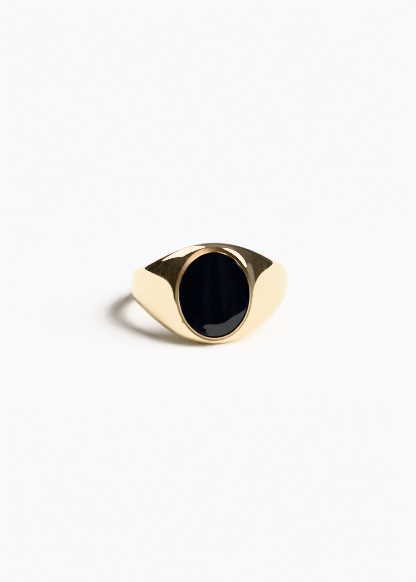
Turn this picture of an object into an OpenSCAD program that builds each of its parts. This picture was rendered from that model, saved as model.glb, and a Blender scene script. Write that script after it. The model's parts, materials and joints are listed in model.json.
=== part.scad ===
// Signet ring with an oval black stone in a raised collar setting.
//
// The ring lies on its side, as a ring without a stand does: the tall head and the back of the
// band touch the surface below, so the face looks forward (-Y) and tips a little upward.
// The origin is the centre of the finger bore, +X is to the right and +Z is up.
// Sizes are in millimetres.

/* [Finger bore] */
// Diameter of the finger bore, 17.35 is US size 7
bore_d = 17.35; // [14:0.05:22.5]
// How far the eased inner edges reach out from the bore
ease_reach = 0.45; // [0.2:0.05:0.7]

/* [Band] */
// Thickness of the band at the back and the sides
band_t = 1.3; // [0.9:0.05:2.2]
// Width of the band at the back, along the finger
back_w = 3.7; // [2.4:0.1:8]
// Roundness of the band's outer face at the back, 2 is a half oval and 8 is nearly flat
back_square = 2.4; // [2:0.1:8]

/* [Head] */
// Length of the head along the finger
head_l = 12.6; // [12.4:0.1:18]
// Height of the head's face above the bore
head_rise = 2.675; // [2:0.025:5]
// Squareness of the head's edge, 2 is a half oval and 8 is a sharp corner
head_square = 4; // [2.5:0.1:8]
// Share by which the head widens from the bore out to its face
head_flare = 0.04; // [0:0.01:0.15]

/* [Shoulders] */
// Height of the shoulders above the band, where they run in under the face
shoulder_rise = 2.9; // [1:0.1:5]
// How soon the shoulders fall to the band's thickness, higher is sooner
shoulder_fall = 13; // [6:1:30]
// How soon the head's length tapers to the band's width, higher is sooner
taper_fall = 8.8; // [4:0.2:20]
// Crispness of the bend between the face and the shoulders
shoulder_bend = 30; // [8:1:80]
// Angle each side of the head over which its square section turns into the band's round one
section_turn = 25; // [10:1:60]

/* [Stone] */
// Length of the stone along the finger
stone_l = 11; // [6:0.1:11]
// Width of the stone round the finger
stone_w = 9; // [5:0.1:9.4]
// Height of the stone's straight side
stone_side = 1.1; // [0.6:0.05:1.4]
// Width of the bevel that the collar's lip is burnished over
stone_bevel = 0.2; // [0.1:0.05:0.4]
// Rise of the polished dome above the bevel
stone_dome = 0.38; // [0.1:0.02:1]

/* [Setting] */
// Wall thickness of the collar
collar_wall = 0.28; // [0.2:0.02:0.4]
// Height of the collar above the head's face
collar_rise = 0.65; // [0.4:0.05:1]
// How far the lip reaches in over the stone's edge
lip_cover = 0.1; // [0.05:0.01:0.15]
// Width of the ledge that carries the stone
ledge_w = 0.6; // [0.3:0.05:1.2]
// Height of the ledge, which is also the depth of cement under the stone
ledge_h = 0.55; // [0.2:0.05:0.8]
// Play between the stone and the collar
stone_play = 0.02; // [0.01:0.01:0.05]
// Gap between the collar and its recess, filled by solder
solder_gap = 0.02; // [0.01:0.01:0.05]

/* [Fineness] */
// Steps round the finger, a multiple of four
steps_round = 96; // [48:4:112]
// Steps across the band's outer face
steps_face = 24; // [12:2:28]

/* [Hidden] */
$fn = 96;

bore_r = bore_d / 2;
head_face = bore_r + head_rise;
crown_base = bore_r + ease_reach;

// The inner edge is a quarter oval, which crosses the bore before it turns parallel to it.
ease_past_bore = 0.2;
ease_across = ease_reach + ease_past_bore;
ease_along = 0.8;
steps_ease = 5;

// Every piece of the setting is an oval of the stone's own proportion.
oval = stone_l / stone_w;
stone_r = stone_w / 2;
collar_in = stone_r + stone_play;
collar_out = collar_in + collar_wall;
lip_in = stone_r - lip_cover;
lip_r = (collar_out - lip_in) / 2;
ledge_in = collar_in - ledge_w;

// Heights of the setting, measured outward from the finger's axis.
collar_top = head_face + collar_rise;
lip_mid = collar_top - lip_r;
// The stone's side stops below the lip by as much as the bevel is wide, and a little play.
girdle = lip_mid - stone_bevel - stone_play * 2;
seat = girdle - stone_side;
recess_floor = seat - ledge_h;
dome_base = girdle + stone_bevel;
dome_top = dome_base + stone_dome;
dome_edge_r = stone_r - stone_bevel;
dome_r = (dome_edge_r * dome_edge_r + stone_dome * stone_dome) / (2 * stone_dome);

// Half the ring's width along the finger, at an angle round from the middle of the head.
function half_width(a) = back_w / 2 + (head_l - back_w) / 2 * pow(cos(a / 2), taper_fall);

// Height of the ring's outer face above the finger's axis: the lower of the flat face and the
// swelling shoulders, with a smooth bend between them.
function shoulder_r(a) = bore_r + band_t + shoulder_rise * pow(cos(a / 2), shoulder_fall);
function face_r(a) = head_face / max(cos(a), 0.2);
function outer_r(a) = pow(pow(face_r(a), -shoulder_bend) + pow(shoulder_r(a), -shoulder_bend),
                          -1 / shoulder_bend);

// Angles run from 0 at the head to 180 at the back, the same on both sides.
function from_head(a) = a > 180 ? 360 - a : a;
function squareness(a) = back_square + (head_square - back_square) * exp(-pow(a / section_turn, 2));
function super_oval(u, n) = pow(pow(abs(cos(u)), n) + pow(abs(sin(u)), n), -1 / n);

// One section of the ring as [distance from the finger's axis, place along the finger].
function face_point(a, u) =
    let (reach = super_oval(u, squareness(a)), depth = reach * cos(u))
    [crown_base + (outer_r(a) - crown_base) * depth,
     half_width(a) * reach * sin(u) * (1 + head_flare * depth * pow(cos(a / 2), taper_fall))];
function ease_point(a, v, side) =
    [crown_base - ease_across * sin(v), side * (half_width(a) - ease_along * (1 - cos(v)))];
function section(a) = concat(
    [for (k = [steps_ease:-1:1]) ease_point(a, 90 * k / steps_ease, -1)],
    [for (k = [0:steps_face]) face_point(a, 180 * k / steps_face - 90)],
    [for (k = [1:steps_ease]) ease_point(a, 90 * k / steps_ease, 1)]);
section_points = steps_face + 1 + 2 * steps_ease;

// The ring rests where the underside of the head and the underside of the back are level.
function lowest(a, tilt) =
    min([for (p = section(a)) p[0] * cos(a) * sin(tilt) - abs(p[1]) * cos(tilt)]);
function settle(low, high, turns) =
    let (mid = (low + high) / 2)
    turns == 0 ? mid
    : lowest(0, mid) < lowest(180, mid) ? settle(mid, high, turns - 1)
    : settle(low, mid, turns - 1);
rest_tilt = settle(0, 45, 24);

cut_clear = 1;

module lay_down() {
    rotate([-rest_tilt, 0, 0]) children();
}

// Places the setting: heights run outward from the finger's axis, through the head's face.
module setting() {
    lay_down() rotate([90, 0, 0]) children();
}

module oval_prism(r, low, high) {
    translate([0, 0, low]) linear_extrude(high - low) scale([1, oval]) circle(r = r);
}

module ring_skin() {
    points = [for (i = [0:steps_round - 1])
        let (a = 360 * i / steps_round)
        for (p = section(from_head(a))) [p[0] * sin(a), -p[0] * cos(a), p[1]]];
    faces = [for (i = [0:steps_round - 1], j = [0:section_points - 1])
        let (next_i = (i + 1) % steps_round, next_j = (j + 1) % section_points)
        [i * section_points + j, i * section_points + next_j,
         next_i * section_points + next_j, next_i * section_points + j]];
    polyhedron(points = points, faces = faces, convexity = 6);
}

module ring_body() {
    color([0.86, 0.68, 0.38])
    difference() {
        lay_down() ring_skin();
        lay_down() cylinder(r = bore_r, h = head_l + 2 * cut_clear, center = true);
        setting() oval_prism(collar_out + solder_gap, recess_floor, collar_top + cut_clear);
    }
}

module bezel_collar() {
    color([0.92, 0.74, 0.43])
    setting() union() {
        difference() {
            oval_prism(collar_out, recess_floor, lip_mid);
            oval_prism(collar_in, recess_floor - cut_clear, lip_mid + cut_clear);
        }
        scale([1, oval, 1]) rotate_extrude()
            translate([collar_out - lip_r, lip_mid]) circle(r = lip_r, $fn = 32);
    }
}

module bearing_ledge() {
    color([0.80, 0.62, 0.33])
    setting() difference() {
        oval_prism(collar_in, recess_floor, seat);
        oval_prism(ledge_in, recess_floor - cut_clear, seat + cut_clear);
    }
}

module cement_bed() {
    color([0.88, 0.85, 0.76])
    setting() oval_prism(ledge_in, recess_floor, seat);
}

// The stone is a column cut by a cone for its bevel and by a large ball for its dome.
module onyx_stone() {
    color([0.05, 0.05, 0.06])
    setting() intersection() {
        oval_prism(stone_r, seat, dome_top + cut_clear);
        scale([1, oval, 1]) translate([0, 0, seat - cut_clear])
            cylinder(r1 = stone_r + stone_side + cut_clear, r2 = stone_r - cut_clear - stone_dome,
                     h = stone_side + stone_dome + 2 * cut_clear);
        scale([1, oval, 1]) translate([0, 0, dome_top - dome_r]) sphere(r = dome_r);
    }
}

ring_body();
bezel_collar();
bearing_ledge();
cement_bed();
onyx_stone();
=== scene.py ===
# %% [markdown]
# # A signet ring, from the frame to the finished view
# The engineering model of this ring is already made and packed: five solids, with a finger bore of an
# exact size. Blender's work here is the finish: mirror-smooth surfaces, polished gold and glassy onyx,
# and a small white studio round them. Nothing below moves or resizes the engineering model, which is
# called the frame. The pieces that show are made again as finer meshes in the same place.

# %% Load the frame
import json
import math

import bmesh
import bpy
from mathutils import Matrix, Vector

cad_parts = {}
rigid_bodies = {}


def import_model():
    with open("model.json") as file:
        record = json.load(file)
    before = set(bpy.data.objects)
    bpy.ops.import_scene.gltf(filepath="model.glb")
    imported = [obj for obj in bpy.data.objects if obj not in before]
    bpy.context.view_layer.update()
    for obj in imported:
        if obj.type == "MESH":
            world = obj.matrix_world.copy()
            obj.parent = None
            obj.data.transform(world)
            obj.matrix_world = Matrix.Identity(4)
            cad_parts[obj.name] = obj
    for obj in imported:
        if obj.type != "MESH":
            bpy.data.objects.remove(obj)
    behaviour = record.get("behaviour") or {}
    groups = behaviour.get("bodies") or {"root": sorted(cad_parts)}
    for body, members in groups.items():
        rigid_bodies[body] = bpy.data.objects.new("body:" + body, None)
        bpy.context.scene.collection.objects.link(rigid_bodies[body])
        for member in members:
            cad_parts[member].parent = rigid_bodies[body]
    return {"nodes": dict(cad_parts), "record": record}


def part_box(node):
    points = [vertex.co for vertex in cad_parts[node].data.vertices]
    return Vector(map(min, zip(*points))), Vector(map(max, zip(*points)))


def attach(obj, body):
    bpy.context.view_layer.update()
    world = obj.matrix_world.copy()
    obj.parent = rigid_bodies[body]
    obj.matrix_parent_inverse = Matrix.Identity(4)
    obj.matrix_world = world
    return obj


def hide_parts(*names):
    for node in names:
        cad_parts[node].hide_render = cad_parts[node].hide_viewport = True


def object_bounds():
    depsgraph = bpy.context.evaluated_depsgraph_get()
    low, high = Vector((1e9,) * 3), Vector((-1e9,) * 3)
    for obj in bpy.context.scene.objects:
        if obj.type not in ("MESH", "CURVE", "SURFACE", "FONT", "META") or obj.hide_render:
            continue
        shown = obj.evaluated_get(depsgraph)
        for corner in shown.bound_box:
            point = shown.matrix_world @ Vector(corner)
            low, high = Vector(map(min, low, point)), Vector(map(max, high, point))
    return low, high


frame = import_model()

frame_low, frame_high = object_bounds()
print("frame", [round(1000 * (b - a), 2) for a, b in zip(frame_low, frame_high)], "mm")

# %% [markdown]
# ## The sizes
# A ring is drawn from a few sizes: the finger, the metal over the finger, and the stone. They are written
# here once, in millimetres, as a jeweller says them, and turned into Blender's metres. What the frame
# knows already is read from it instead: the bore's radius, the lean of the finger's axis as the ring lies
# at rest, and the stone's width.

# %% Sizes of the ring
MM = 0.001
finger_bore = frame["record"]["mounts"][0]
bore_r = finger_bore["dims"]["r_mm"] * MM
finger_axis = Vector(finger_bore["axis"]).normalized()
rest_tilt = math.atan2(finger_axis.y, finger_axis.z)

band_t = 1.3 * MM
back_w = 3.7 * MM
head_l = 12.6 * MM
head_face = bore_r + 2.675 * MM
shoulder_rise = 2.9 * MM
ease_reach = 0.45 * MM
ease_past_bore = 0.2 * MM
ease_along = 0.8 * MM

stone_low, stone_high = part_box("onyx_stone")
stone_r = (stone_high.x - stone_low.x) / 2
oval = 11 / 9
stone_side = 1.1 * MM
stone_bevel = 0.2 * MM
stone_dome = 0.38 * MM
stone_play = 0.02 * MM

collar_wall = 0.28 * MM
collar_rise = 0.65 * MM
lip_cover = 0.1 * MM
ledge_h = 0.55 * MM
collar_in = stone_r + stone_play
collar_out = collar_in + collar_wall
lip_r = (collar_out - (stone_r - lip_cover)) / 2
lip_mid = head_face + collar_rise - lip_r
girdle = lip_mid - stone_bevel - stone_play * 2
seat = girdle - stone_side
recess_floor = seat - ledge_h
collar_top = head_face + collar_rise

# The ring's own space has the finger's axis upright; lying down leans it back by the rest tilt.
lie_down = Matrix.Rotation(-rest_tilt, 4, "X")
# The setting's own space has the stone's face upward, and the head looks along -Y of the ring's.
to_head = lie_down @ Matrix.Rotation(math.radians(90), 4, "X")
print("rest tilt", round(math.degrees(rest_tilt), 2), "degrees")
print("stone", round(2 * stone_r / MM, 2), "mm wide")

# %% [markdown]
# ## Helpers for node trees
# Both the shapes and the finishes are built from nodes. A tree made by hand has dozens of boxes and
# wires, so a few small helpers keep the script readable. Some make a node and fill its sockets, do a sum or
# mix two values. One gives a tree its named inputs, and two finish a shape's tree and bake it into a plain
# mesh. A value passed to the first kind may be a number or the output of another node.

# %% Node helpers
def fill(tree, socket, value):
    """Wires a node's output into a socket, or sets the socket to a plain value."""
    if isinstance(value, bpy.types.NodeSocket):
        tree.links.new(value, socket)
    else:
        socket.default_value = value


def add_node(tree, kind, inputs=(), **settings):
    """Makes a node, applies its settings and fills the sockets named or numbered in inputs."""
    node = tree.nodes.new(kind)
    for name, value in settings.items():
        setattr(node, name, value)
    for name, value in dict(inputs).items():
        fill(tree, node.inputs[name], value)
    return node


def calc(tree, operation, *values):
    """One sum in the tree: a Math node's result."""
    node = add_node(tree, "ShaderNodeMath", operation=operation)
    for socket, value in zip(node.inputs, values):
        fill(tree, socket, value)
    return node.outputs[0]


# A Mix node has its two numbers in sockets 2 and 3, and its two colours in sockets 6 and 7.
def mix_numbers(tree, factor, first, second):
    """The first number where the factor is nothing, the second where it is one."""
    return add_node(tree, "ShaderNodeMix", {0: factor, 2: first, 3: second}).outputs[0]


def mix_colours(tree, factor, first, second):
    """The first colour where the factor is nothing, the second where it is one."""
    return add_node(tree, "ShaderNodeMix", {0: factor, 6: first, 7: second}, data_type="RGBA").outputs[2]


def name_sockets(tree, direction, **sockets):
    """Adds named sockets; a key's underscores become spaces, and its value is the socket's kind."""
    for name, kind in sockets.items():
        tree.interface.new_socket(name.replace("_", " "), in_out=direction, socket_type=kind)


# %% Helpers for geometry trees
NUMBER = "NodeSocketFloat"
CREASE = math.radians(35)
MERGE_DISTANCE = 0.0005 * MM


def geometry_tree(name, **sizes):
    """A geometry tree with one named number input for each size, set to that size."""
    tree = bpy.data.node_groups.new(name, "GeometryNodeTree")
    name_sockets(tree, "OUTPUT", Geometry="NodeSocketGeometry")
    name_sockets(tree, "INPUT", Material="NodeSocketMaterial", **dict.fromkeys(sizes, NUMBER))
    source = tree.nodes.new("NodeGroupInput")
    inputs = {key: source.outputs[key.replace("_", " ")] for key in ("Material", *sizes)}
    return tree, inputs


def finish_tree(tree, geometry, material):
    """Shades smooth except along real corners, realizes instances and sets the material."""
    angle = tree.nodes.new("GeometryNodeInputMeshEdgeAngle").outputs["Unsigned Angle"]
    soft = add_node(tree, "GeometryNodeSetShadeSmooth", {"Geometry": geometry})
    crisp = add_node(tree, "GeometryNodeSetShadeSmooth",
                     {"Geometry": soft.outputs[0], "Selection": calc(tree, "GREATER_THAN", angle, CREASE),
                      "Shade Smooth": False}, domain="EDGE")
    real = add_node(tree, "GeometryNodeRealizeInstances", {"Geometry": crisp.outputs[0]})
    dressed = add_node(tree, "GeometryNodeSetMaterial", {"Geometry": real.outputs[0], "Material": material})
    tree.links.new(dressed.outputs[0], tree.nodes.new("NodeGroupOutput").inputs[0])


def bake(name, tree, material, sizes, profile=None):
    """Runs a geometry tree on an empty mesh and returns its result as a plain mesh object."""
    holder = bpy.data.objects.new(name + "_tree", bpy.data.meshes.new(name + "_tree"))
    bpy.context.scene.collection.objects.link(holder)
    modifier = holder.modifiers.new("shape", "NODES")
    modifier.node_group = tree
    values = {key.replace("_", " "): size for key, size in sizes.items()}
    values["Material"] = material
    if profile:
        values["Profile"] = profile
    for item in tree.interface.items_tree:
        if item.in_out == "INPUT" and item.name in values:
            modifier[item.identifier] = values[item.name]
    evaluated = holder.evaluated_get(bpy.context.evaluated_depsgraph_get())
    mesh = bpy.data.meshes.new_from_object(evaluated)
    bpy.data.objects.remove(holder)
    piece = bpy.data.objects.new(name, mesh)
    mesh.name = name
    bpy.context.scene.collection.objects.link(piece)
    print(name, len(mesh.vertices), "vertices,", len(mesh.polygons), "faces")
    return piece


print("points closer than", round(MERGE_DISTANCE / MM, 4), "mm are merged")
print("corners sharper than", round(math.degrees(CREASE)), "degrees stay crisp")

# %% [markdown]
# ## Finishes shared by every metal piece
# Polished metal is never perfectly smooth. The buffing wheel leaves broad, shallow waves that bend
# reflections a little, and wear adds hairline scratches that run every way. A shader node group makes
# both from noise, so that each gold can use them at its own strength: the Principled shader stays in the
# material, and the group only hands it a height and a roughness. Object coordinates tie the pattern to the
# metal. The alternative, a painted scratch image, would blur up close and need unwrapping.

# %% Hairline scratches
def hairline_layer(tree, place, angle, seed):
    """Long thin dashes: noise stretched forty times along one direction, cut off high."""
    turned = add_node(tree, "ShaderNodeMapping",
                      {"Vector": place, "Rotation": (angle, angle * 0.6, angle), "Scale": (60, 2400, 2400)})
    noise = add_node(tree, "ShaderNodeTexNoise",
                     {"Vector": turned.outputs[0], "W": seed, "Scale": 1.0, "Detail": 1.0},
                     noise_dimensions="4D")
    cut = add_node(tree, "ShaderNodeMapRange",
                   {"Value": noise.outputs[0], "From Min": 0.66, "From Max": 0.76})
    return cut.outputs[0]


# %% Group: buffing waves and hairlines
HAIRLINE_DEPTH = 0.5
HAIRLINE_ROUGHNESS = 0.12
CLOUD_ROUGHNESS = 0.05

polish = bpy.data.node_groups.new("Buffed surface", "ShaderNodeTree")
name_sockets(polish, "INPUT", Wave_size=NUMBER, Hairline_strength=NUMBER, Base_roughness=NUMBER)
name_sockets(polish, "OUTPUT", Height=NUMBER, Roughness=NUMBER, Tone=NUMBER)
polish_in = polish.nodes.new("NodeGroupInput").outputs
polish_out = polish.nodes.new("NodeGroupOutput").inputs
polish_place = polish.nodes.new("ShaderNodeTexCoord").outputs["Object"]
waves = add_node(polish, "ShaderNodeTexNoise",
                 {"Vector": polish_place, "Scale": polish_in["Wave size"], "Detail": 1.5, "Roughness": 0.4})
hairlines = calc(polish, "MAXIMUM", hairline_layer(polish, polish_place, 0.4, 1.0),
                 calc(polish, "MAXIMUM", hairline_layer(polish, polish_place, 1.7, 5.0),
                      hairline_layer(polish, polish_place, 2.9, 9.0)))
worn = calc(polish, "MULTIPLY", hairlines, polish_in["Hairline strength"])
scratched = calc(polish, "SUBTRACT", waves.outputs[0], calc(polish, "MULTIPLY", worn, HAIRLINE_DEPTH))
polish.links.new(scratched, polish_out["Height"])
clouds = add_node(polish, "ShaderNodeTexNoise", {"Vector": polish_place, "Scale": 260.0, "Detail": 3.0})
dulled = calc(polish, "ADD", calc(polish, "MULTIPLY", clouds.outputs[0], CLOUD_ROUGHNESS),
              calc(polish, "MULTIPLY", worn, HAIRLINE_ROUGHNESS))
polish.links.new(calc(polish, "ADD", polish_in["Base roughness"], dulled), polish_out["Roughness"])
polish.links.new(clouds.outputs[0], polish_out["Tone"])
print("group", polish.name, "with", len(polish.nodes), "nodes")

# %% [markdown]
# ## Dull metal and painted shade at the foot of the collar
# A buffing wheel cannot get into the corner where the collar's wall meets the head, so the gold there stays
# rougher; its tint there is also painted darker and browner, as shade in the corner. The corner is an oval,
# and this group measures every point's distance from it: first the coordinates are turned so that the head
# faces up, then the long side is squeezed until the oval is a circle. The wall and the head both use the
# group, each with its own reach.

# %% Group: nearness to the collar's foot
# Noise wobbles the edge of the mask that carries the rougher finish and the painted shade.
FOOT_EDGE_WOBBLE = 0.03 * MM

foot = bpy.data.node_groups.new("Foot of the collar", "ShaderNodeTree")
name_sockets(foot, "INPUT", Reach=NUMBER, Softness=NUMBER)
name_sockets(foot, "OUTPUT", Mask=NUMBER)
foot_in = foot.nodes.new("NodeGroupInput").outputs
foot_out = foot.nodes.new("NodeGroupOutput").inputs
foot_place = foot.nodes.new("ShaderNodeTexCoord").outputs["Object"]
head_up = add_node(foot, "ShaderNodeMapping",
                   {"Vector": foot_place, "Rotation": (rest_tilt - math.radians(90), 0.0, 0.0)})
head_x, head_y, head_z = add_node(foot, "ShaderNodeSeparateXYZ", {0: head_up.outputs[0]}).outputs


def hypotenuse(first, second):
    """The long side of a right triangle with these two short sides."""
    squares = [calc(foot, "MULTIPLY", side, side) for side in (first, second)]
    return calc(foot, "SQRT", calc(foot, "ADD", *squares))


outside = calc(foot, "SUBTRACT", hypotenuse(head_x, calc(foot, "DIVIDE", head_y, oval)), collar_out)
above = calc(foot, "SUBTRACT", head_z, head_face)
foot_distance = hypotenuse(outside, above)
edge_noise = add_node(foot, "ShaderNodeTexNoise", {"Vector": foot_place, "Scale": 1800.0, "Detail": 2.0})
wobbled_distance = calc(foot, "ADD", foot_distance,
               calc(foot, "MULTIPLY", calc(foot, "SUBTRACT", edge_noise.outputs[0], 0.5), FOOT_EDGE_WOBBLE))
past_reach = calc(foot, "DIVIDE", calc(foot, "SUBTRACT", foot_in["Reach"], wobbled_distance), foot_in["Softness"])
near = add_node(foot, "ShaderNodeClamp", {"Value": past_reach})
foot.links.new(near.outputs[0], foot_out["Mask"])
print("group", foot.name, "with", len(foot.nodes), "nodes")

# %% [markdown]
# ## Yellow gold
# Gold has no colour of its own under its surface: it tints what it mirrors. So the material is fully
# metallic, its Base Color is the tint, and its roughness is low except in the dull corner, where the tint
# is also painted darker as shade. The tint drifts slightly between two alloys' colours, because no casting
# is quite even, and the buffed surface bends the reflections.

# %% Gold material
# The dull tint is painted shade: a dark brown that stands in for the shade in the corner round the collar.
PAINTED_SHADE_TINT = (0.25, 0.162, 0.082)
DULL_ROUGHNESS = 0.50
FOOT_SOFTNESS = 0.05 * MM


def gold(name, light, deep, wave_size, wave_depth, hairlines, roughness, foot_reach=None):
    """Buffed gold; with foot_reach, rougher near the corner round the collar, and painted darker brown
    there as shade.
    """
    material = bpy.data.materials.new(name)
    material.use_nodes = True
    tree = material.node_tree
    shader = tree.nodes["Principled BSDF"]
    shader.inputs["Metallic"].default_value = 1.0
    buffed = add_node(tree, "ShaderNodeGroup", node_tree=polish)
    buffed.inputs["Wave size"].default_value = wave_size
    buffed.inputs["Hairline strength"].default_value = hairlines
    buffed.inputs["Base roughness"].default_value = roughness
    colour = mix_colours(tree, buffed.outputs["Tone"], (*deep, 1), (*light, 1))
    rough = buffed.outputs["Roughness"]
    # Near the collar's foot the roughness rises, and the colour is painted darker brown as shade.
    if foot_reach:
        dull_and_shade = add_node(tree, "ShaderNodeGroup", node_tree=foot)
        dull_and_shade.inputs["Reach"].default_value = foot_reach
        dull_and_shade.inputs["Softness"].default_value = FOOT_SOFTNESS
        colour = mix_colours(tree, dull_and_shade.outputs["Mask"], colour, (*PAINTED_SHADE_TINT, 1))
        rough = mix_numbers(tree, dull_and_shade.outputs["Mask"], rough, DULL_ROUGHNESS)
    tree.links.new(colour, shader.inputs["Base Color"])
    tree.links.new(rough, shader.inputs["Roughness"])
    bump = add_node(tree, "ShaderNodeBump", {"Height": buffed.outputs["Height"], "Distance": wave_depth})
    tree.links.new(bump.outputs[0], shader.inputs["Normal"])
    return material


# %% The three golds
band_gold = gold("polished_gold", light=(1.0, 0.85, 0.60), deep=(0.98, 0.785, 0.46), wave_size=420.0,
                 wave_depth=0.005 * MM, hairlines=0.3, roughness=0.03, foot_reach=0.13 * MM)
collar_gold = gold("burnished_gold", light=(1.0, 0.84, 0.62), deep=(0.97, 0.78, 0.50), wave_size=900.0,
                   wave_depth=0.004 * MM, hairlines=0.6, roughness=0.10, foot_reach=0.72 * MM)
ledge_gold = gold("filed_gold", light=(0.95, 0.62, 0.33), deep=(0.88, 0.55, 0.28), wave_size=1500.0,
                  wave_depth=0.01 * MM, hairlines=1.0, roughness=0.28)
print("golds", band_gold.name, collar_gold.name, ledge_gold.name)

# %% [markdown]
# ## Black onyx and setting cement
# Onyx is a dyed chalcedony: a hard, glassy stone whose black goes a little brown and grey in faint bands.
# It isn't metal, so most light enters and is lost, and only a twenty-fifth of it mirrors off the polish.
# That is a plain dielectric with a very dark Base Color. The cement under it is a pale, dull resin.

# %% Onyx material
def onyx():
    """Dark bands a shade apart, a touch of haze in the polish and a faint ripple."""
    material = bpy.data.materials.new("black_onyx")
    material.use_nodes = True
    tree = material.node_tree
    shader = tree.nodes["Principled BSDF"]
    shader.inputs["IOR"].default_value = 1.54
    shader.inputs["Specular IOR Level"].default_value = 0.46
    place = tree.nodes.new("ShaderNodeTexCoord").outputs["Object"]
    bands = add_node(tree, "ShaderNodeTexWave",
                     {"Vector": place, "Scale": 260.0, "Distortion": 6.0, "Detail": 3.0,
                      "Detail Scale": 1.2}, bands_direction="DIAGONAL")
    ramp = add_node(tree, "ShaderNodeValToRGB", {"Fac": bands.outputs["Fac"]})
    ramp.color_ramp.elements[0].color = (0.0026, 0.0034, 0.0044, 1)
    ramp.color_ramp.elements[1].color = (0.0054, 0.0052, 0.0060, 1)
    tree.links.new(ramp.outputs[0], shader.inputs["Base Color"])
    polish_haze = add_node(tree, "ShaderNodeTexNoise", {"Vector": place, "Scale": 900.0, "Detail": 4.0})
    roughness = add_node(tree, "ShaderNodeMapRange",
                         {"Value": polish_haze.outputs[0], "From Min": 0.3, "From Max": 0.8,
                          "To Min": 0.02, "To Max": 0.07})
    tree.links.new(roughness.outputs[0], shader.inputs["Roughness"])
    ripple = add_node(tree, "ShaderNodeTexNoise", {"Vector": place, "Scale": 350.0, "Detail": 1.0})
    bump = add_node(tree, "ShaderNodeBump", {"Height": ripple.outputs[0], "Distance": 0.002 * MM})
    tree.links.new(bump.outputs[0], shader.inputs["Normal"])
    return material


onyx_black = onyx()
print("material", onyx_black.name)

# %% Cement material
def cement():
    """A pale, grainy, dull resin."""
    material = bpy.data.materials.new("setting_cement")
    material.use_nodes = True
    tree = material.node_tree
    shader = tree.nodes["Principled BSDF"]
    place = tree.nodes.new("ShaderNodeTexCoord").outputs["Object"]
    grain = add_node(tree, "ShaderNodeTexNoise", {"Vector": place, "Scale": 4000.0, "Detail": 5.0})
    ramp = add_node(tree, "ShaderNodeValToRGB", {"Fac": grain.outputs[0]})
    ramp.color_ramp.elements[0].color = (0.62, 0.58, 0.46, 1)
    ramp.color_ramp.elements[1].color = (0.78, 0.75, 0.64, 1)
    tree.links.new(ramp.outputs[0], shader.inputs["Base Color"])
    roughness = add_node(tree, "ShaderNodeMapRange",
                         {"Value": grain.outputs[0], "To Min": 0.55, "To Max": 0.85})
    tree.links.new(roughness.outputs[0], shader.inputs["Roughness"])
    bump = add_node(tree, "ShaderNodeBump", {"Height": grain.outputs[0], "Distance": 0.02 * MM})
    tree.links.new(bump.outputs[0], shader.inputs["Normal"])
    return material


setting_cement = cement()
print("material", setting_cement.name)

# %% [markdown]
# ## The ring body
# The casting follows one rule. Go round the finger from the head: the section's width, height and
# squareness all change smoothly with the angle, and each section is a rounded oval standing on the bore.
# It could be a subdivided box pushed by hand, but a mirror finish shows every uneven point, so the rule
# itself is built in Geometry Nodes: a flat grid whose one direction is the angle and whose other runs
# across the section, moved into place by sums. Three kinds of grid make the outer face, the eased inner
# edges and the bore; merged, they are one closed skin. A boolean then sinks the recess for the setting.

# %% Named sizes of the ring body
body_sizes = dict(Bore=bore_r, Band_thickness=band_t, Back_width=back_w, Head_length=head_l,
                  Head_face=head_face, Shoulder_rise=shoulder_rise, Shoulder_fall=13.0, Taper_fall=8.8,
                  Shoulder_bend=30.0, Section_turn=math.radians(25), Back_squareness=2.4,
                  Head_squareness=4.0, Head_flare=0.04, Ease_reach=ease_reach,
                  Ease_past_bore=ease_past_bore, Ease_along=ease_along, Rest_tilt=rest_tilt,
                  Recess_radius=collar_out + stone_play, Recess_floor=recess_floor, Oval=oval)
body_tree, size = geometry_tree("Ring body", **body_sizes)
print("body tree with", len(size), "named inputs")

# %% Grids for the ring body
STEPS_ROUND = 384
STEPS_FACE = 96
STEPS_EASE = 10
STEPS_BORE = 16
RECESS_STEPS = 256


def body_calc(operation, *values):
    """One sum in the ring body's tree."""
    return calc(body_tree, operation, *values)


def unit_grid(steps_across):
    """A grid with the angle round the finger (0 at the head) along X and the section along Y."""
    grid = add_node(body_tree, "GeometryNodeMeshGrid",
                    {"Size X": 1.0, "Size Y": 1.0, "Vertices X": STEPS_ROUND + 1,
                     "Vertices Y": steps_across + 1})
    place = add_node(body_tree, "ShaderNodeSeparateXYZ",
                     {"Vector": body_tree.nodes.new("GeometryNodeInputPosition").outputs[0]})
    return grid.outputs["Mesh"], body_calc("MULTIPLY", place.outputs[0], math.tau), place.outputs[1]


print("body grids", STEPS_ROUND, "round;", STEPS_FACE + 2 * STEPS_EASE + STEPS_BORE, "across")

# %% Rule of the ring body
def fall_off(angle, power):
    """One at the head, nothing at the back."""
    return body_calc("POWER", body_calc("COSINE", body_calc("MULTIPLY", angle, 0.5)), power)


def half_width(angle):
    """Half the section's width along the finger, widest at the head."""
    spread = body_calc("MULTIPLY", body_calc("SUBTRACT", size["Head_length"], size["Back_width"]), 0.5)
    return body_calc("MULTIPLY_ADD", spread, fall_off(angle, size["Taper_fall"]),
                     body_calc("MULTIPLY", size["Back_width"], 0.5))


def outer_radius(angle):
    """The lower of the flat face and the swelling shoulders, with a smooth bend between."""
    face = body_calc("DIVIDE", 1.0, body_calc("MAXIMUM", body_calc("COSINE", angle), 0.2))
    swell = body_calc("MULTIPLY_ADD", size["Shoulder_rise"], fall_off(angle, size["Shoulder_fall"]),
                      body_calc("ADD", size["Bore"], size["Band_thickness"]))
    shoulder = body_calc("DIVIDE", swell, size["Head_face"])
    bend = body_calc("MULTIPLY", size["Shoulder_bend"], -1.0)
    both = body_calc("ADD", body_calc("POWER", face, bend), body_calc("POWER", shoulder, bend))
    blended = body_calc("POWER", both, body_calc("DIVIDE", 1.0, bend))
    return body_calc("MULTIPLY", size["Head_face"], blended)


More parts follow.
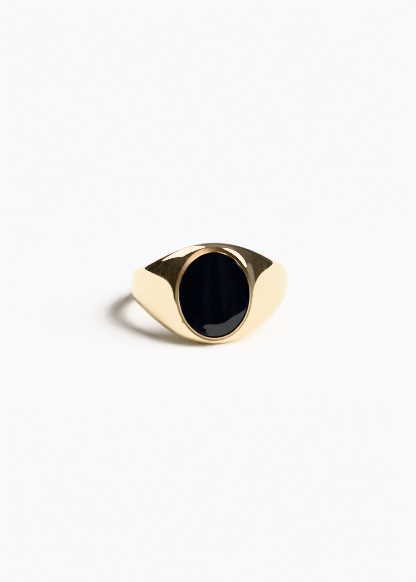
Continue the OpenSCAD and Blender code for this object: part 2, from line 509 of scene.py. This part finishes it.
def put_round_finger(grid, radius, angle, along):
    """Moves the grid's points to a radius and an angle round the finger, and a distance along it."""
    place = add_node(body_tree, "ShaderNodeCombineXYZ")
    fill(body_tree, place.inputs[0], body_calc("MULTIPLY", radius, body_calc("SINE", angle)))
    drop = body_calc("MULTIPLY", radius, body_calc("COSINE", angle))
    fill(body_tree, place.inputs[1], body_calc("MULTIPLY", drop, -1.0))
    fill(body_tree, place.inputs[2], along)
    moved = add_node(body_tree, "GeometryNodeSetPosition", {"Geometry": grid, "Position": place.outputs[0]})
    return moved.outputs[0]


crown_base = body_calc("ADD", size["Bore"], size["Ease_reach"])
ease_across = body_calc("ADD", size["Ease_reach"], size["Ease_past_bore"])
ease_end = body_calc("ARCSINE", body_calc("DIVIDE", size["Ease_reach"], ease_across))
ease_drop = body_calc("MULTIPLY", size["Ease_along"],
                      body_calc("SUBTRACT", 1.0, body_calc("COSINE", ease_end)))
print("rule of the body:", len(body_tree.nodes), "nodes so far")

# %% Outer face, eased edges and bore of the ring body
def outer_face():
    """The oval section from edge to edge; it grows squarer, wider and taller towards the head."""
    grid, angle, across = unit_grid(STEPS_FACE)
    slant = body_calc("MULTIPLY", across, math.pi)
    turns = body_calc("ABSOLUTE", body_calc("DIVIDE", angle, size["Section_turn"]))
    near_head = body_calc("EXPONENT", body_calc("MULTIPLY", -1.0, body_calc("POWER", turns, 2.0)))
    square = body_calc("MULTIPLY_ADD", near_head,
                       body_calc("SUBTRACT", size["Head_squareness"], size["Back_squareness"]),
                       size["Back_squareness"])
    powers = [body_calc("POWER", body_calc("ABSOLUTE", body_calc(wave, slant)), square)
              for wave in ("COSINE", "SINE")]
    reach = body_calc("POWER", body_calc("ADD", *powers), body_calc("DIVIDE", -1.0, square))
    depth = body_calc("MULTIPLY", reach, body_calc("COSINE", slant))
    crown = body_calc("SUBTRACT", outer_radius(angle), crown_base)
    radius = body_calc("MULTIPLY_ADD", crown, depth, crown_base)
    flare = body_calc("MULTIPLY", size["Head_flare"],
                      body_calc("MULTIPLY", depth, fall_off(angle, size["Taper_fall"])))
    along = body_calc("MULTIPLY", body_calc("MULTIPLY", reach, body_calc("SINE", slant)),
                      body_calc("MULTIPLY", half_width(angle), body_calc("ADD", 1.0, flare)))
    return put_round_finger(grid, radius, angle, along)


def eased_edge(side):
    """The rounded corner where the bore meets one side of the ring; side is -1 or 1."""
    grid, angle, across = unit_grid(STEPS_EASE)
    turn = body_calc("MULTIPLY", body_calc("MULTIPLY_ADD", across, side, 0.5), ease_end)
    radius = body_calc("SUBTRACT", crown_base, body_calc("MULTIPLY", ease_across, body_calc("SINE", turn)))
    drop = body_calc("MULTIPLY", size["Ease_along"],
                     body_calc("SUBTRACT", 1.0, body_calc("COSINE", turn)))
    along = body_calc("MULTIPLY", body_calc("SUBTRACT", half_width(angle), drop), side)
    return put_round_finger(grid, radius, angle, along)


def bore_wall():
    """The straight inside that the finger touches."""
    grid, angle, across = unit_grid(STEPS_BORE)
    length = body_calc("MULTIPLY", body_calc("SUBTRACT", half_width(angle), ease_drop), -2.0)
    return put_round_finger(grid, size["Bore"], angle, body_calc("MULTIPLY", across, length))


# %% Closed skin of the ring body
join = body_tree.nodes.new("GeometryNodeJoinGeometry")
for part in (bore_wall(), eased_edge(-1.0), outer_face(), eased_edge(1.0)):
    body_tree.links.new(part, join.inputs[0])
skin = add_node(body_tree, "GeometryNodeMergeByDistance",
                {"Geometry": join.outputs[0], "Distance": MERGE_DISTANCE}).outputs[0]
print("skin of", len(join.inputs[0].links), "grids")

# %% Recess for the setting, and lying down
recess = add_node(body_tree, "GeometryNodeMeshCylinder",
                  {"Vertices": RECESS_STEPS, "Radius": size["Recess_radius"],
                   "Depth": size["Head_face"]})
recess_lift = add_node(body_tree, "ShaderNodeCombineXYZ")
recess_middle = body_calc("SUBTRACT", body_calc("MULTIPLY", size["Head_face"], -0.5), size["Recess_floor"])
fill(body_tree, recess_lift.inputs[1], recess_middle)
recess_scale = add_node(body_tree, "ShaderNodeCombineXYZ", {0: 1.0, 1: size["Oval"], 2: 1.0})
recess_place = add_node(body_tree, "GeometryNodeTransform",
                        {"Geometry": recess.outputs["Mesh"], "Translation": recess_lift.outputs[0],
                         "Rotation": (math.radians(90), 0, 0), "Scale": recess_scale.outputs[0]})
cut = add_node(body_tree, "GeometryNodeMeshBoolean", operation="DIFFERENCE", solver="EXACT")
body_tree.links.new(skin, cut.inputs["Mesh 1"])
body_tree.links.new(recess_place.outputs[0], cut.inputs["Mesh 2"])

lean = add_node(body_tree, "ShaderNodeCombineXYZ", {0: body_calc("MULTIPLY", size["Rest_tilt"], -1.0)})
lying = add_node(body_tree, "GeometryNodeTransform",
                 {"Geometry": cut.outputs[0], "Rotation": lean.outputs[0]})
finish_tree(body_tree, lying.outputs[0], size["Material"])

# %% Bake the ring body
ring = bake("polished_body", body_tree, band_gold, body_sizes)

# %% [markdown]
# ## The collar
# The stone is held by a thin oval wall, and its top edge has been pushed in over the stone with a
# burnisher. On the bench this is a strip bent to shape and soldered shut. In Blender it is one outline of
# the wall, drawn in the script and swept round a circle; the circle is then stretched to the stone's oval.
# The sweep is in Geometry Nodes, with a little unevenness along the lip from noise, because a lip pushed
# down by hand is never quite regular. The outside slopes a little inward, as burnishing leaves it; the
# engineering model's wall stands upright under a round lip.

# %% Outline of the collar's wall
# From the head's face up the sloping outside to the crest, and down to the stone: millimetres in from the
# wall's outer radius, and down from the collar's top.
COLLAR_FACE = ((0.00, 0.64), (0.01, 0.615), (0.30, 0.085), (0.318, 0.052), (0.338, 0.022), (0.36, 0.005),
               (0.38, 0.00), (0.397, 0.008), (0.408, 0.03), (0.413, 0.06), (0.415, 0.10), (0.415, 0.28),
               (0.39, 0.32))


def collar_outline(path_r):
    """The wall's cross-section as a closed curve: distances out from the sweep's path, and heights."""
    points = [(collar_in, recess_floor), (collar_out, recess_floor)]
    points += [(collar_out - inward * MM, collar_top - down * MM) for inward, down in COLLAR_FACE]
    points.append((collar_in, girdle + stone_play * 2))
    curve = bpy.data.curves.new("collar_outline", "CURVE")
    curve.dimensions = "3D"
    line = curve.splines.new("POLY")
    line.points.add(len(points) - 1)
    for point, (out, height) in zip(line.points, reversed(points)):
        point.co = (out - path_r, -height, 0, 1)
    line.use_cyclic_u = True
    outline = bpy.data.objects.new("collar_outline", curve)
    bpy.context.scene.collection.objects.link(outline)
    return outline


collar_path_r = (collar_in + collar_out) / 2
outline = collar_outline(collar_path_r)
print("collar outline", len(outline.data.splines[0].points), "points")

# %% Sweep of the collar
COLLAR_STEPS = 288

collar_sizes = dict(Path_radius=collar_path_r, Oval=oval, Lip_height=lip_mid,
                    Hand_unevenness=0.012 * MM, Unevenness_scale=700.0, Rest_tilt=rest_tilt)
collar_tree, collar_size = geometry_tree("Bezel collar", **collar_sizes)
name_sockets(collar_tree, "INPUT", Profile="NodeSocketObject")
profile = add_node(collar_tree, "GeometryNodeObjectInfo",
                   {"Object": collar_tree.nodes.new("NodeGroupInput").outputs["Profile"]})
path = add_node(collar_tree, "GeometryNodeCurvePrimitiveCircle",
                {"Resolution": COLLAR_STEPS, "Radius": collar_size["Path_radius"]})
wall = add_node(collar_tree, "GeometryNodeCurveToMesh",
                {"Curve": path.outputs[0], "Profile Curve": profile.outputs["Geometry"]})
stretch = add_node(collar_tree, "ShaderNodeCombineXYZ", {0: 1.0, 1: collar_size["Oval"], 2: 1.0})
ovalled = add_node(collar_tree, "GeometryNodeTransform",
                   {"Geometry": wall.outputs[0], "Scale": stretch.outputs[0]})
print("collar swept in", COLLAR_STEPS, "steps")

# %% Hand unevenness of the lip, and lying down
here = collar_tree.nodes.new("GeometryNodeInputPosition").outputs[0]
height = add_node(collar_tree, "ShaderNodeSeparateXYZ", {0: here}).outputs[2]
on_lip = calc(collar_tree, "GREATER_THAN", height, collar_size["Lip_height"])
noise = add_node(collar_tree, "ShaderNodeTexNoise",
                 {"Vector": here, "Scale": collar_size["Unevenness_scale"]})
push = calc(collar_tree, "MULTIPLY", calc(collar_tree, "MULTIPLY", on_lip, noise.outputs[0]),
            calc(collar_tree, "MULTIPLY", collar_size["Hand_unevenness"], -1.0))
push_vector = add_node(collar_tree, "ShaderNodeVectorMath", operation="SCALE")
fill(collar_tree, push_vector.inputs[0], collar_tree.nodes.new("GeometryNodeInputNormal").outputs[0])
fill(collar_tree, push_vector.inputs["Scale"], push)
pushed = add_node(collar_tree, "GeometryNodeSetPosition",
                  {"Geometry": ovalled.outputs[0], "Offset": push_vector.outputs[0]})

upright = add_node(collar_tree, "GeometryNodeTransform",
                   {"Geometry": pushed.outputs[0], "Rotation": (math.radians(90), 0, 0)})
lean = add_node(collar_tree, "ShaderNodeCombineXYZ",
                {0: calc(collar_tree, "MULTIPLY", collar_size["Rest_tilt"], -1.0)})
lying = add_node(collar_tree, "GeometryNodeTransform",
                 {"Geometry": upright.outputs[0], "Rotation": lean.outputs[0]})
finish_tree(collar_tree, lying.outputs[0], collar_size["Material"])

# %% Bake the collar
collar = bake("burnished_collar", collar_tree, collar_gold, collar_sizes, profile=outline)
bpy.data.objects.remove(outline)

# %% [markdown]
# ## The stone
# A buff-top stone has a flat back, a straight side, a narrow bevel that the lip presses on, and a low
# polished dome. It is turned like a button: half its outline is spun round the middle, and the result is
# stretched to the oval. Mesh code is enough here, because the outline is short. The corner between bevel
# and dome is rounded, as polishing does, so that it catches a thin line of light.

# %% Outline of the stone
BACK_CHAMFER = 0.08 * MM
CORNER_REACH = 0.07 * MM
CORNER_STEPS = 8
DOME_STEPS = 40


def stone_outline():
    """Half the stone's outline, as points (distance from the middle, height), from back to crown."""
    dome_edge_r = stone_r - stone_bevel
    dome_base = girdle + stone_bevel
    dome_r = (dome_edge_r ** 2 + stone_dome ** 2) / (2 * stone_dome)
    dome_middle = dome_base + stone_dome - dome_r

    def dome_point(r):
        """The point of the dome's arc at a distance from the middle."""
        return Vector((r, dome_middle + math.sqrt(dome_r ** 2 - r ** 2)))

    corner = dome_point(dome_edge_r)
    bevel_end = Vector((dome_edge_r + CORNER_REACH, dome_base - CORNER_REACH))
    dome_start = dome_point(dome_edge_r - 2 * CORNER_REACH)
    points = [Vector((0, seat)), Vector((stone_r - BACK_CHAMFER, seat)),
              Vector((stone_r, seat + BACK_CHAMFER)), Vector((stone_r, girdle - stone_play)),
              Vector((stone_r - stone_play, girdle + stone_play / 2))]
    for step in range(CORNER_STEPS + 1):
        t = step / CORNER_STEPS
        points.append(bevel_end * (1 - t) ** 2 + corner * 2 * t * (1 - t) + dome_start * t ** 2)
    for step in range(DOME_STEPS - 1, -1, -1):
        points.append(dome_point(dome_start.x * step / DOME_STEPS))
    return points


stone_points = stone_outline()
print("stone", round((stone_points[-1].y - seat) / MM, 2), "mm thick")

# %% Spin the stone
def spin_to_oval(name, points, material, steps=256):
    """Turns an outline round the middle, stretches it to the oval and lays it on the head."""
    mesh = bpy.data.meshes.new(name)
    shape = bmesh.new()
    verts = [shape.verts.new((point.x, 0, point.y)) for point in points]
    edges = [shape.edges.new(pair) for pair in zip(verts, verts[1:])]
    bmesh.ops.spin(shape, geom=verts + edges, cent=(0, 0, 0), axis=(0, 0, 1), angle=math.tau, steps=steps)
    bmesh.ops.remove_doubles(shape, verts=shape.verts, dist=MERGE_DISTANCE)
    bmesh.ops.recalc_face_normals(shape, faces=shape.faces)
    shape.transform(to_head @ Matrix.Diagonal((1, oval, 1, 1)))
    shape.to_mesh(mesh)
    shape.free()
    mesh.shade_smooth()
    mesh.set_sharp_from_angle(angle=CREASE)
    mesh.materials.append(material)
    piece = bpy.data.objects.new(name, mesh)
    bpy.context.scene.collection.objects.link(piece)
    print(name, len(mesh.vertices), "vertices,", len(mesh.polygons), "faces")
    return piece


stone = spin_to_oval("domed_stone", stone_points, onyx_black)

# %% [markdown]
# ## Hand the pieces to the frame
# Each finished piece rides on the ring's one body, and the engineering solid that it stands for is hidden.
# The ledge and the cement are hidden under the stone and have the right shape already, so they keep their
# own meshes and take a better material.

# %% Ride and replace
for piece, node, slot in ((ring, "ring_body", "band_gold"), (collar, "bezel_collar", "collar_gold"),
                          (stone, "onyx_stone", "onyx")):
    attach(piece, "root")
    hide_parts(node)
for node, material in (("bearing_ledge", ledge_gold), ("cement_bed", setting_cement)):
    slots = frame["nodes"][node].material_slots
    for index in range(len(slots)):
        slots[index].material = material

# %% [markdown]
# ## A small white studio
# Polished gold shows the room more than itself, so the room is designed too. The ring lies on a white
# table, and everything above the table's horizon is dark, because without something dark to mirror, gold
# looks like beige plastic. Two soft windows are then opened in the dark: a slanting one high behind on the
# left, and a narrow one in front on the right. Real studios are made the same way, with white paper, black
# card and softboxes. The alternative, a plain white room, hides every curve.

# %% White table
floor_z = frame_low.z
floor_half = 0.5
paper_mesh = bpy.data.meshes.new("white_table")
paper_mesh.from_pydata([(-floor_half, -floor_half, floor_z), (floor_half, -floor_half, floor_z),
                        (floor_half, floor_half, floor_z), (-floor_half, floor_half, floor_z)], [],
                       [(0, 1, 2, 3)])
table = bpy.data.objects.new("white_table", paper_mesh)
bpy.context.scene.collection.objects.link(table)
paper = bpy.data.materials.new("white_paper")
paper.use_nodes = True
paper_shader = paper.node_tree.nodes["Principled BSDF"]
paper_shader.inputs["Base Color"].default_value = (0.89, 0.89, 0.91, 1)
paper_shader.inputs["Roughness"].default_value = 0.9
paper_shader.inputs["Specular IOR Level"].default_value = 0.0
paper_mesh.materials.append(paper)
print("table top at", round(floor_z / MM, 2), "mm")

# %% [markdown]
# ## The room as light
# The room is drawn in the world's nodes by direction alone. Light Path tells which kind of ray is asking:
# the camera sees a plain white backdrop, the matt paper gets a weak even light that fills its shadows, and
# only mirror-like surfaces see the dark room with its windows. A node group draws one window from a
# direction, a slant and two half sizes, so that every light patch of the room is one call.

# %% Group: soft window in a direction
window_group = bpy.data.node_groups.new("Soft window", "ShaderNodeTree")
name_sockets(window_group, "INPUT", Direction="NodeSocketVector", Azimuth=NUMBER, Elevation=NUMBER,
             Roll=NUMBER, Half_width=NUMBER, Half_height=NUMBER, Edge=NUMBER)
name_sockets(window_group, "OUTPUT", Mask=NUMBER)
window_in = window_group.nodes.new("NodeGroupInput").outputs


def faded_edge(across, half):
    """One inside the half size, nothing outside, with a soft edge between."""
    edge = add_node(window_group, "ShaderNodeMapRange", interpolation_type="SMOOTHSTEP")
    fill(window_group, edge.inputs["Value"], calc(window_group, "ABSOLUTE", across))
    fill(window_group, edge.inputs["From Min"], calc(window_group, "ADD", half, window_in["Edge"]))
    fill(window_group, edge.inputs["From Max"], half)
    return edge.outputs[0]


turned = window_in["Direction"]
for axis, angle in (("Z_AXIS", calc(window_group, "MULTIPLY", window_in["Azimuth"], -1.0)),
                    ("X_AXIS", window_in["Elevation"]), ("Y_AXIS", window_in["Roll"])):
    turned = add_node(window_group, "ShaderNodeVectorRotate", {"Vector": turned, "Angle": angle},
                      rotation_type=axis).outputs[0]
seen = add_node(window_group, "ShaderNodeSeparateXYZ", {0: turned})
ahead = calc(window_group, "MULTIPLY", seen.outputs[1], -1.0)
reach = calc(window_group, "MAXIMUM", ahead, 0.001)
inside = calc(window_group, "MULTIPLY",
              faded_edge(calc(window_group, "DIVIDE", seen.outputs[0], reach), window_in["Half width"]),
              faded_edge(calc(window_group, "DIVIDE", seen.outputs[2], reach), window_in["Half height"]))
in_front = calc(window_group, "GREATER_THAN", ahead, 0.0)
window_group.links.new(calc(window_group, "MULTIPLY", inside, in_front),
                       window_group.nodes.new("NodeGroupOutput").inputs["Mask"])
print("group", window_group.name, "with", len(window_group.nodes), "nodes")

# %% World and its light patches
world = bpy.data.worlds.new("studio")
bpy.context.scene.world = world
world.use_nodes = True
sky = world.node_tree
sky.nodes.clear()
way = sky.nodes.new("ShaderNodeTexCoord").outputs["Generated"]
way_axes = add_node(sky, "ShaderNodeSeparateXYZ", {0: way}).outputs


def window(azimuth, elevation, roll, half_width, half_height, edge, strength):
    """Degrees from the front towards the right, degrees up, and half sizes as tangents."""
    node = add_node(sky, "ShaderNodeGroup", node_tree=window_group)
    fill(sky, node.inputs["Direction"], way)
    for name, value in (("Azimuth", math.radians(azimuth)), ("Elevation", math.radians(elevation)),
                        ("Roll", math.radians(roll)), ("Half width", half_width),
                        ("Half height", half_height), ("Edge", edge)):
        node.inputs[name].default_value = value
    return calc(sky, "MULTIPLY", node.outputs["Mask"], strength)


def brighter_towards(axis, start, end, strength):
    """Light that grows along one axis of the direction."""
    grow = add_node(sky, "ShaderNodeMapRange",
                    {"Value": way_axes[axis], "From Min": start, "From Max": end, "To Max": strength},
                    interpolation_type="SMOOTHSTEP")
    return grow.outputs[0]


print("world", world.name, "with", len(sky.nodes), "nodes so far")

# %% Light of the room
WINDOW_LIGHT = 8.0

# Shelves, walls and people are a dark clutter in the gold, never one flat tone.
clutter = add_node(sky, "ShaderNodeTexNoise",
                   {"Vector": way, "Scale": 9.0, "Detail": 4.0, "Roughness": 0.65})
room_light = add_node(sky, "ShaderNodeMapRange",
                      {"Value": clutter.outputs[0], "From Min": 0.35, "From Max": 0.7,
                       "To Min": 0.03, "To Max": 0.10}).outputs[0]
for light in (
        # The slanting window high behind on the left, and the narrow one in front on the right.
        window(azimuth=-123, elevation=52, roll=48, half_width=0.72, half_height=0.29, edge=0.05,
               strength=WINDOW_LIGHT),
        window(azimuth=31.5, elevation=41, roll=-4, half_width=0.10, half_height=0.35, edge=0.04,
               strength=WINDOW_LIGHT),
        # A dim grey card low on the right, and pale paper curving up behind.
        window(azimuth=50, elevation=8, roll=0, half_width=0.17, half_height=0.17, edge=0.20,
               strength=0.22),
        window(azimuth=178, elevation=14, roll=0, half_width=0.17, half_height=0.34, edge=0.13,
               strength=0.45),
        # The room is a little lighter towards the right, and lightest at the ceiling.
        brighter_towards(axis=0, start=-0.6, end=0.7, strength=0.04),
        brighter_towards(axis=2, start=0.3, end=0.75, strength=0.05),
        brighter_towards(axis=2, start=0.80, end=0.95, strength=0.16)):
    room_light = calc(sky, "ADD", room_light, light)
print("windows", WINDOW_LIGHT, "bright;", len(sky.nodes), "nodes so far")

# %% What each kind of ray sees
BACKDROP_LIGHT = 2.05
EVEN_LIGHT = 0.15
PLAIN_WHITE = (1.0, 1.0, 1.0, 1)
DAYLIGHT = (1.0, 0.965, 1.06, 1)

ray = sky.nodes.new("ShaderNodeLightPath").outputs
plain_light = calc(sky, "MULTIPLY_ADD", ray["Is Camera Ray"], BACKDROP_LIGHT - EVEN_LIGHT, EVEN_LIGHT)
strength = mix_numbers(sky, ray["Is Glossy Ray"], plain_light, room_light)
tone = mix_colours(sky, ray["Is Glossy Ray"], PLAIN_WHITE, DAYLIGHT)
studio = add_node(sky, "ShaderNodeBackground", {"Color": tone, "Strength": strength})
sky.links.new(studio.outputs[0], sky.nodes.new("ShaderNodeOutputWorld").inputs[0])
print("world", world.name, "with", len(sky.nodes), "nodes")

# %% [markdown]
# ## Key light and black card
# The shadow falls on the left and a little behind, so the key light stands on the right, in front. It is
# a sun lamp with a large angle, which lights the whole table evenly. The gold doesn't mirror it: its
# highlights are the windows, whose places can then be chosen without moving the shadow. A black card
# stands in front of the ring: a jeweller's display has one there to keep a black stone black, and its
# slanting lower edge leaves a patch of table in the stone. Only reflections see the card, so that it hides
# nothing in any view.

# %% Key light
def direction(azimuth, elevation):
    """Towards a light or a camera: the angle from the front towards the right, and the angle up."""
    return Vector((math.sin(azimuth) * math.cos(elevation), -math.cos(azimuth) * math.cos(elevation),
                   math.sin(elevation)))


KEY_AZIMUTH = math.radians(68)
KEY_ELEVATION = math.radians(44)
KEY_SPREAD = math.radians(46)
KEY_STRENGTH = 9.9
key_light = bpy.data.lights.new("key_light", "SUN")
key_light.angle = KEY_SPREAD
key_light.energy = KEY_STRENGTH
key = bpy.data.objects.new("key_light", key_light)
key.rotation_euler = direction(KEY_AZIMUTH, KEY_ELEVATION).to_track_quat("Z", "Y").to_euler()
key.visible_glossy = False
bpy.context.scene.collection.objects.link(key)
print("key light", key_light.energy, "W/m2 over", round(math.degrees(key_light.angle)), "degrees")

# %% Black card's shape
card_y = -22 * MM
# Across, and up from the table, in millimetres: the torn lower edge from left to right, then the top.
card_corners = ((-9.5, 0.1), (-1.0, 0.1), (-1.7, 0.7), (-1.4, 1.1), (-2.4, 1.6), (-1.8, 2.1), (-1.0, 2.2),
                (0.8, 2.1), (2.6, 2.4), (4.4, 3.4), (5.9, 3.9), (7.2, 4.4), (9.5, 5.6), (9.5, 22.0),
                (-9.5, 22.0))
card_mesh = bpy.data.meshes.new("black_card")
card_mesh.from_pydata([(x * MM, card_y, floor_z + z * MM) for x, z in card_corners], [],
                      [tuple(range(len(card_corners)))])
card = bpy.data.objects.new("black_card", card_mesh)
bpy.context.scene.collection.objects.link(card)
print("card", round(-card_y / MM), "mm in front of the finger's axis")

# %% Black card's paper
soot = bpy.data.materials.new("black_paper")
soot.use_nodes = True
soot_shader = soot.node_tree.nodes["Principled BSDF"]
soot_shader.inputs["Roughness"].default_value = 0.9
worn_card = add_node(soot.node_tree, "ShaderNodeMapping",
                     {"Vector": soot.node_tree.nodes.new("ShaderNodeTexCoord").outputs["Object"],
                      "Scale": (320, 320, 60)})
rubs = add_node(soot.node_tree, "ShaderNodeTexNoise", {"Vector": worn_card.outputs[0], "Scale": 1.0})
greys = add_node(soot.node_tree, "ShaderNodeValToRGB", {"Fac": rubs.outputs[0]})
for stop, place, grey in zip(greys.color_ramp.elements, (0.45, 0.62),
                             ((0.01, 0.01, 0.01, 1), (0.30, 0.30, 0.32, 1))):
    stop.position, stop.color = place, grey
soot.node_tree.links.new(greys.outputs[0], soot_shader.inputs["Base Color"])
card_mesh.materials.append(soot)
card.visible_camera = card.visible_diffuse = card.visible_shadow = False
print("card of", soot.name)

# %% [markdown]
# ## The camera
# A long lens from 400 mm away keeps the oval true. It looks down at the face by the angle at which
# a person looks at a ring on a table, and from very slightly to the left.

# %% Camera
view_down = math.radians(8.2) + rest_tilt
view_side = math.radians(-2.7)
camera_distance = 400 * MM
view_height = 74.33 * MM
lean_sideways = math.radians(-0.9)
off_centre = Vector((-0.21 * MM, -1.16 * MM, 0))
camera_data = bpy.data.cameras.new("camera")
camera_data.sensor_width = 36
camera_data.lens = camera_data.sensor_width * camera_distance / view_height
camera = bpy.data.objects.new("camera", camera_data)
bpy.context.scene.collection.objects.link(camera)
bpy.context.scene.camera = camera
toward_camera = direction(view_side, view_down)
turn = toward_camera.to_track_quat("Z", "Y").to_matrix() @ Matrix.Rotation(lean_sideways, 3, "Z")
aim = turn @ off_centre
camera.matrix_world = Matrix.Translation(aim + toward_camera * camera_distance) @ turn.to_4x4()
camera_data.clip_start, camera_data.clip_end = 0.01, 10
bpy.context.scene.view_settings.view_transform = "Khronos PBR Neutral"
print("lens", round(camera_data.lens, 1), "mm, looking down", round(math.degrees(view_down), 1), "degrees")
